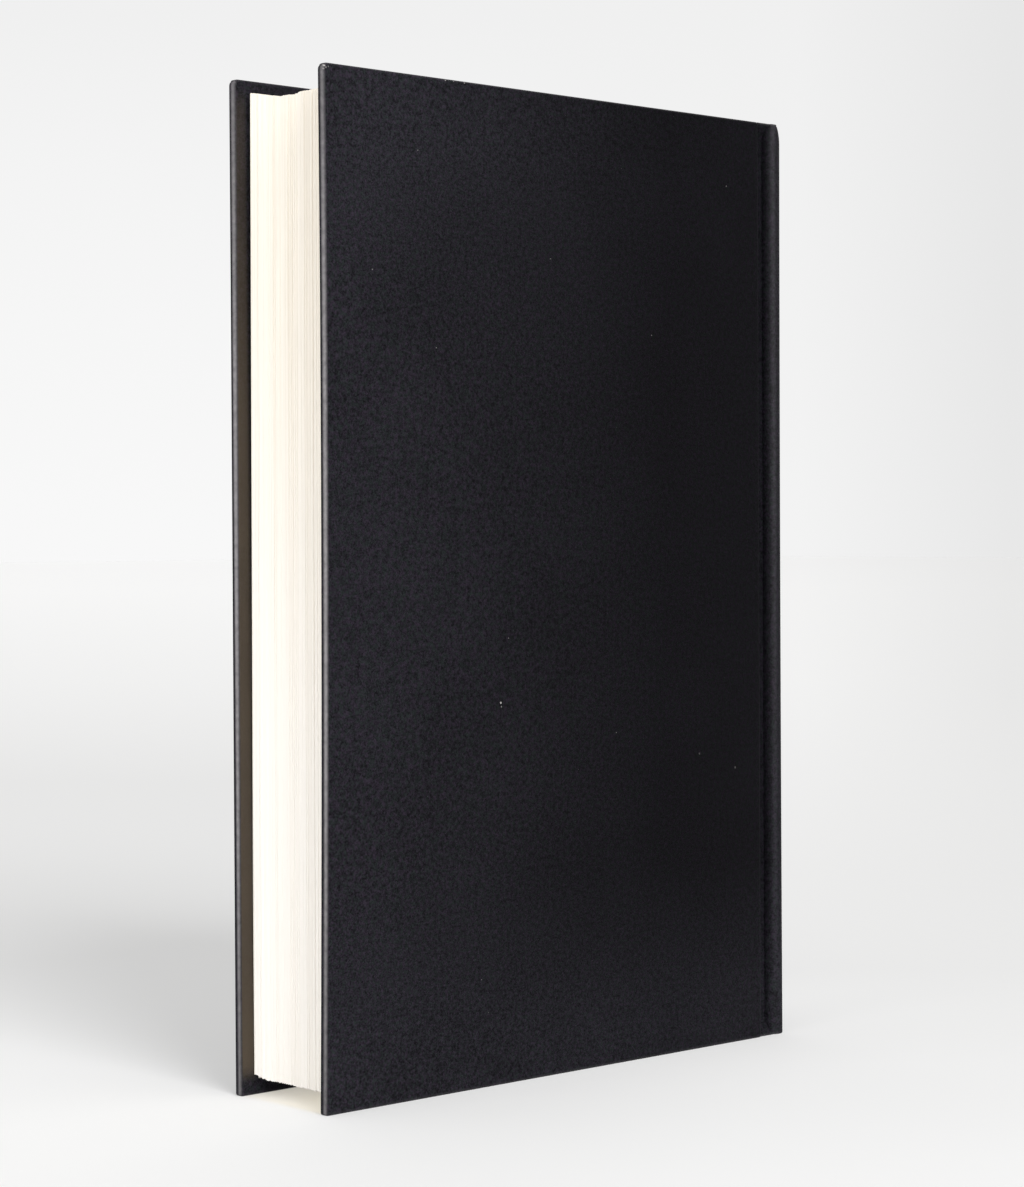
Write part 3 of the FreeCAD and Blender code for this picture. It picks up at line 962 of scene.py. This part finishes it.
def makePages():
    sizes = {"leafCount": leaves["count"], "blockThick": 2 * halfPages * mm, "seed": 7}
    group, tree, start, inputs, idents = newGeometryTree("page_leaves", sizes)
    thick = inputs["blockThick"] / inputs["leafCount"]
    first = tree.joined(0.0, (thick - inputs["blockThick"]) * 0.5, 0.0)
    step = tree.joined(0.0, thick, 0.0)
    spacing = {"Count": inputs["leafCount"], "Start Location": first, "Offset": step}
    line = tree.add("GeometryNodeMeshLine", {"mode": "OFFSET"}, spacing)
    order = Value(tree, tree.add("GeometryNodeInputIndex").outputs[0])
    gathering = tree.maths("FLOOR", order / 8)
    stack = line.outputs[0]
    stack = storeField(tree, stack, "leafTone", randomField(tree, inputs["seed"], order, 0.0, 1.0))
    l = leaves
    fore = unevenness(tree, inputs["seed"] + 1, order, gathering, 0.6)
    stack = storeField(tree, stack, "foreShift", fore * l["foreJitter"])
    ends = unevenness(tree, inputs["seed"] + 3, order, gathering, 0.8)
    stack = storeField(tree, stack, "endShift", ends * l["endJitter"])
    unit = {"Size": tree.joined(1.0, thick, 1.0), "Vertices X": 15, "Vertices Y": 2, "Vertices Z": 9}
    leaf = tree.add("GeometryNodeMeshCube", {}, unit)
    placed = tree.add("GeometryNodeInstanceOnPoints", {}, {"Points": stack, "Instance": leaf.outputs[0]})
    solid = tree.add("GeometryNodeRealizeInstances", {}, {"Geometry": placed.outputs[0]})
    x, y, z = tree.split(tree.add("GeometryNodeInputPosition").outputs[0])
    across = 1 - (0.5 - x) ** 2.1
    shift = readField(tree, "endShift")
    newX, newY, newZ = leafPoint(across, y / mm, z + 0.5, tree, readField(tree, "foreShift"), shift, shift)
    at = tree.joined(newX * mm, newY * mm, newZ * mm)
    bent = tree.add("GeometryNodeSetPosition", {}, {"Geometry": solid.outputs[0], "Position": at})
    dressed = tree.add("GeometryNodeSetMaterial", {}, {"Geometry": bent.outputs[0], "Material": leafPaper})
    tree.add("NodeGroupOutput", {}, {0: dressed.outputs[0]})
    seedPoints = [(0, 0, 0), (1, 0, 0), (0, 1, 0)]
    piece = newPiece("page_leaves", seedPoints, [(0, 1, 2)], leafPaper, outward=False)
    applyTree(piece, group, idents, sizes)
    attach(piece, book)
    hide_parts("page_block")


def makeFlyleaf(side):
    plain = Plain()
    across = [1 - (1 - n / 26) ** 2.1 for n in range(27)]
    rings = []
    for up in spread(0, 1, 24):
        ring = []
        for lift in (0.001, 0.199):
            line = []
            for share in across:
                x, y, z = leafPoint(share, side * halfPages, up, plain)
                lean = smooth((x - 66.9) / 0.6)  # square to the shoulder past the bend
                line.append((x - 0.9 * lift * lean, y + side * lift * lerp(1, 0.47, lean), z))
            ring += line if lift > 0.1 else []
            inner = line if lift < 0.1 else inner
        rings.append(ring + inner[::-1])
    piece = solidSweep(f"{coverOf[side]}_free_leaf", rings, endpaper)
    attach(piece, book)
    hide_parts(f"{coverOf[side]}_flyleaf")


makePages()
for side in (1, -1):
    makeFlyleaf(side)
print("leaves made")


# Gauze over the spine and shoulders
def makeSpineGauze():
    l = leaves
    centre = leafHigh.x - l["backRadius"]
    tip = Vector((centre + math.sqrt(l["backRadius"] ** 2 - l["tipY"] ** 2), l["tipY"]))
    turnAt = tip.x - l["flare"]
    sides = []
    for layer in (0.201, 0.399):
        y = halfPages + layer
        path = [Vector((x, y)) for x in (web["gauzeEnd"], 65.6, turnAt - 0.6 * layer)]
        shoulder = Vector((tip.x - 0.885 * layer, tip.y + 0.466 * layer))
        path += [path[-1].lerp(shoulder, 0.5), shoulder]
        radius = l["backRadius"] + (layer - 0.2)
        angle = math.asin(l["tipY"] / l["backRadius"])
        for a in spread(angle, 0, 14):
            path.append(Vector((centre + radius * math.cos(a), radius * math.sin(a))))
        sides.append(path + [Vector((p.x, -p.y)) for p in reversed(path[:-1])])
    rings = []
    for z in spread(mullLow.z, mullHigh.z, 12):
        rings.append([(p.x, p.y, z) for p in sides[1] + sides[0][::-1]])
    piece = solidSweep("spine_gauze", rings, gauze)
    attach(piece, book)
    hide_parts("spine_mull")


makeSpineGauze()


# Headbands: a cloth tape glued to the spine, and a bead wound with thread
band = {
    "threads": 62,
    "thread": 0.21,  # radius
    "beadDeep": 1.8,
    "beadTall": 1.6,
    "clothDeep": 10.0,
    "slant": 0.12,
    "seed": 3,
}


def makeBand(node, end, way):
    b = band
    radius = leaves["backRadius"]
    centre = leafHigh.x - radius
    half = math.asin(halfPages / radius)
    outer, thick = radius + 0.199, b["thread"]
    inner = outer - b["beadDeep"] + thick
    top = end + way * (b["beadTall"] - thick)
    tape = [(radius + 0.001, end - way * b["clothDeep"]), (outer, end - way * b["clothDeep"])]
    core = [(outer - thick, end + way * 0.7), (outer - thick - 0.3, top - way * 0.2), (inner + 0.55, top)]
    core += [(inner + 0.1, top - way * 0.45), (inner, end + way * 0.01)]
    core += [(radius + 0.001, end + way * 0.005)]
    section = tape + core
    rings = []
    for angle in spread(-half, half, 28):
        rings.append([(centre + r * math.cos(angle), r * math.sin(angle), z) for r, z in section])
    points, faces = sweepRings(rings)
    size = len(section)
    faces += [tuple(range(size)), tuple(range(len(points) - size, len(points)))]
    piece = newPiece(f"{node}_wound", points, faces, bandCloth)

    sizes = {"threads": b["threads"], "threadRadius": thick * mm}
    sizes.update({"halfAngle": half - 0.006, "seed": b["seed"]})
    group, tree, start, inputs, idents = newGeometryTree(f"{node}_threads", sizes)
    line = tree.add("GeometryNodeMeshLine", {"mode": "OFFSET"}, {"Count": inputs["threads"]})
    order = Value(tree, tree.add("GeometryNodeInputIndex").outputs[0])
    share = order / (inputs["threads"] - 1)
    angle = inputs["halfAngle"] * (share * 2 - 1)
    middle = (inner + outer - thick) / 2 * mm
    ringX = centre * mm + middle * tree.maths("COSINE", angle)
    ring = tree.joined(ringX, middle * tree.maths("SINE", angle), (end + top) / 2 * mm)
    spots = tree.add("GeometryNodeSetPosition", {}, {"Geometry": line.outputs[0], "Position": ring})
    loose = randomField(tree, inputs["seed"], order, -0.05, 0.05)
    turn = tree.joined(loose, 0.0, angle + way * b["slant"] + loose)
    sides = {0: (outer - thick - inner) * mm, 1: (abs(top - end)) * mm}
    loop = tree.add("GeometryNodeCurvePrimitiveQuadrilateral", {"mode": "RECTANGLE"}, sides)
    corners = {"Curve": loop.outputs[0], "Radius": 0.45 * mm, "Count": 3}
    rounded = tree.add("GeometryNodeFilletCurve", {"mode": "POLY"}, corners)
    raised = {"Geometry": rounded.outputs[0], "Rotation": (math.pi / 2, 0.0, 0.0)}
    upright = tree.add("GeometryNodeTransform", {}, raised)
    thread = {"Resolution": 6, "Radius": inputs["threadRadius"]}
    profile = tree.add("GeometryNodeCurvePrimitiveCircle", {}, thread)
    drawn = {"Curve": upright.outputs[0], "Profile Curve": profile.outputs[0]}
    tube = tree.add("GeometryNodeCurveToMesh", {}, drawn)
    spaced = {"Points": spots.outputs[0], "Instance": tube.outputs[0], "Rotation": turn}
    wound = tree.add("GeometryNodeInstanceOnPoints", {}, spaced)
    both = tree.add("GeometryNodeJoinGeometry")
    tree.feed(both.inputs[0], start.outputs[0])
    tree.feed(both.inputs[0], wound.outputs[0])
    solid = tree.add("GeometryNodeRealizeInstances", {}, {"Geometry": both.outputs[0]})
    dressed = tree.add("GeometryNodeSetMaterial", {}, {"Geometry": solid.outputs[0], "Material": bandCloth})
    tree.add("NodeGroupOutput", {}, {0: dressed.outputs[0]})
    applyTree(piece, group, idents, sizes)
    piece.data.shade_smooth()
    piece.data.set_sharp_from_angle(angle=math.radians(40))
    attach(piece, book)
    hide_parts(node)


def makeInlay():
    radius = case["spineRadius"] - (spineBack - inlayHigh.x)
    centre = inlayHigh.x - radius
    half = math.asin(inlayHigh.y / radius)
    rings = []
    drawnFrom = inlayHigh.z - warp["cornerTall"] - 1  # closer rows where the corner is drawn in
    for z in spread(inlayLow.z, drawnFrom, 20) + spread(drawnFrom, inlayHigh.z, 10)[1:]:
        ring = []
        for deep, ends in ((radius, (-half, half)), (radius - case["inlayThick"], (half, -half))):
            for a in spread(*ends, 24):
                ring.append(spineDraw(centre + deep * math.cos(a), deep * math.sin(a), z))
        rings.append(ring)
    piece = solidSweep("inlay_card", rings, greyboard)
    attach(piece, book)
    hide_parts("spine_inlay")


makeBand("head_band", headZ, 1)
makeBand("tail_band", tailZ, -1)
makeInlay()
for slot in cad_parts["spine_lining"].material_slots:
    slot.material = kraft
print("gauze, lining and headbands made")


# Floor, light and camera
room = {
    "reach": 9.0,
    "eye": (-0.45655, -0.4848, 0.1235),
    "heading": 47.0,
    "roll": -0.0036,
    "lens": 87.11,
    "shift": -0.0544,
    "around": 0.62,  # light from all sides
    "plainShare": 0.3,  # of the floor's tone that no lamp changes
    "paintedGlowShare": 0.22,  # and more of a painted warm light between the boards, where the leaves throw light down
    "paintedGlowTone": tint(255, 246, 226),
    "underHalf": (0.0142, 0.0012),  # half its width, and its soft edge
    "underFore": (0.0745, 0.004),
    "underSpine": 0.07,
    "skyTone": (1.0, 0.995, 0.985, 1.0),
    "key": {"direction": (0.2, 0.85, -0.6), "strength": 1.9, "angle": 28},
    "window": {"place": (-0.85, -0.02, 0.12), "target": (0, 0, 0.09), "size": 0.60, "power": 2.45},
}


# tones of the paper sweep, from its horizon to the front, at the left, behind the spine and at the right:
# painted light and shade, darker to the right and in a painted shadow band at the left beside the book
sweep = {
    "steps": (0.0, 0.085, 0.218, 0.35, 0.482, 0.615, 0.747, 0.88, 1.0),
    "floor": (
        (249, 250, 243, 233, 232, 238, 246, 244, 244),
        (243, 246, 245, 241, 238, 238, 252, 250, 250),
        (233, 235, 234, 235, 235, 237, 247, 250, 250),
    ),
    "rises": (0.0, 0.4, 0.72, 1.0),
    "wall": ((248, 246, 243.5, 240), (243, 242, 241, 240), (232, 231, 231, 231)),
}


def paintSweep(tree, steps, rows, place, aside):
    colours = []
    for tones in rows:
        stops = [(step, tint(tone, tone, tone)) for step, tone in zip(steps, tones)]
        colours.append(tree.add("ShaderNodeValToRGB", {"stops": stops}, {0: tree.held(place)}).outputs[0])
    behind = tree.mixed(tree.eased((aside + 0.08) / 0.18), colours[0], colours[1])
    return tree.mixed(tree.held((aside - 0.1) / 0.073), behind, colours[2])


def makeFloor():
    r = room["reach"]
    mesh = bpy.data.meshes.new("floor")
    mesh.from_pydata([(-r, -r, 0), (r, -r, 0), (r, r, 0), (-r, r, 0)], [], [(0, 1, 2, 3)])
    floor = bpy.data.objects.new("floor", mesh)
    scene.collection.objects.link(floor)
    finish, tree, place = newFinish("floor_paper")
    x, y, z = tree.split(place)
    eye, heading = room["eye"], math.radians(room["heading"])
    deep = (x - eye[0]) * math.cos(heading) + (y - eye[1]) * math.sin(heading)
    deep = tree.held(deep, 0.3, 90.0)
    aside = ((x - eye[0]) * math.sin(heading) - (y - eye[1]) * math.cos(heading)) / deep
    fall = eye[2] / deep / 0.25
    colour = paintSweep(tree, sweep["steps"], sweep["floor"], fall, aside)
    matt = {"Base Color": colour, "Roughness": 0.9, "Specular IOR Level": 0.1}
    paper = tree.add("ShaderNodeBsdfPrincipled", {}, matt)
    # painted warm light on the floor between the boards, under the leaves
    half, fore = room["underHalf"], room["underFore"]
    under = tree.eased((half[0] - tree.maths("ABSOLUTE", y)) / half[1]) * tree.eased((x + fore[0]) / fore[1])
    under = under * (x < room["underSpine"]) * (1 - 25 * y)
    warmed = tree.mixed(under, colour, room["paintedGlowTone"])
    plain = tree.add("ShaderNodeEmission", {}, {"Color": warmed, "Strength": 1.0})
    path = tree.add("ShaderNodeLightPath").outputs
    seen = tree.maths("MAXIMUM", Value(tree, path["Is Camera Ray"]), Value(tree, path["Is Glossy Ray"]))
    seen = tree.maths("MAXIMUM", seen, Value(tree, path["Is Transmission Ray"]))
    seen = seen * (room["plainShare"] + room["paintedGlowShare"] * under)
    mix = tree.add("ShaderNodeMixShader", {}, {0: seen, 1: paper.outputs[0], 2: plain.outputs[0]})
    tree.add("ShaderNodeOutputMaterial", {}, {"Surface": mix.outputs[0]})
    mesh.materials.append(finish)


def makeWorld():
    world = bpy.data.worlds.new("studio")
    world.use_nodes = True
    world.node_tree.nodes.clear()
    tree = Tree(world.node_tree)
    x, y, z = tree.split(tree.add("ShaderNodeTexCoord").outputs["Generated"])
    heading = math.radians(room["heading"])
    ahead = tree.held(x * math.cos(heading) + y * math.sin(heading), 0.2, 1.0)
    aside = (x * math.sin(heading) - y * math.cos(heading)) / ahead
    colour = paintSweep(tree, sweep["rises"], sweep["wall"], z / ahead / 0.18, aside)
    seen = tree.add("ShaderNodeBackground", {}, {"Color": colour, "Strength": 1.0})
    lit = tree.add("ShaderNodeBackground", {}, {"Color": room["skyTone"], "Strength": room["around"]})
    path = tree.add("ShaderNodeLightPath").outputs
    direct = tree.maths("MAXIMUM", Value(tree, path["Is Camera Ray"]), Value(tree, path["Is Glossy Ray"]))
    direct = tree.maths("MAXIMUM", direct, Value(tree, path["Is Transmission Ray"]))
    mix = tree.add("ShaderNodeMixShader", {}, {0: direct, 1: lit.outputs[0], 2: seen.outputs[0]})
    tree.add("ShaderNodeOutputWorld", {}, {"Surface": mix.outputs[0]})
    scene.world = world


def aimed(light, place, direction):
    turn = Vector(direction).to_track_quat("-Z", "Y").to_matrix().to_4x4()
    light.matrix_world = Matrix.Translation(place) @ turn
    scene.collection.objects.link(light)


def makePanel(name, place, target, size, power):
    lamp = bpy.data.lights.new(name, "AREA")
    lamp.energy, lamp.size = power, size
    light = bpy.data.objects.new(name, lamp)
    light.visible_camera = False
    aimed(light, place, Vector(target) - Vector(place))


def makeSun(name, direction, strength, angle):
    lamp = bpy.data.lights.new(name, "SUN")
    lamp.energy, lamp.angle = strength, math.radians(angle)
    aimed(bpy.data.objects.new(name, lamp), (0, 0, 1), direction)


def makeCamera():
    lens = bpy.data.cameras.new("camera")
    lens.lens, lens.sensor_width, lens.shift_y = room["lens"], 36, room["shift"]
    lens.clip_start, lens.clip_end = 0.01, 60
    camera = bpy.data.objects.new("camera", lens)
    heading = math.radians(room["heading"])
    aim = Vector((math.cos(heading), math.sin(heading), 0))
    turn = aim.to_track_quat("-Z", "Y").to_matrix().to_4x4()
    camera.matrix_world = Matrix.Translation(room["eye"]) @ turn @ Matrix.Rotation(room["roll"], 4, "Z")
    scene.collection.objects.link(camera)
    scene.camera = camera


makeFloor()
makeWorld()
makeSun("key", **room["key"])
makePanel("window", **room["window"])
makeCamera()
scene.view_settings.view_transform = "Standard"
print("room made")
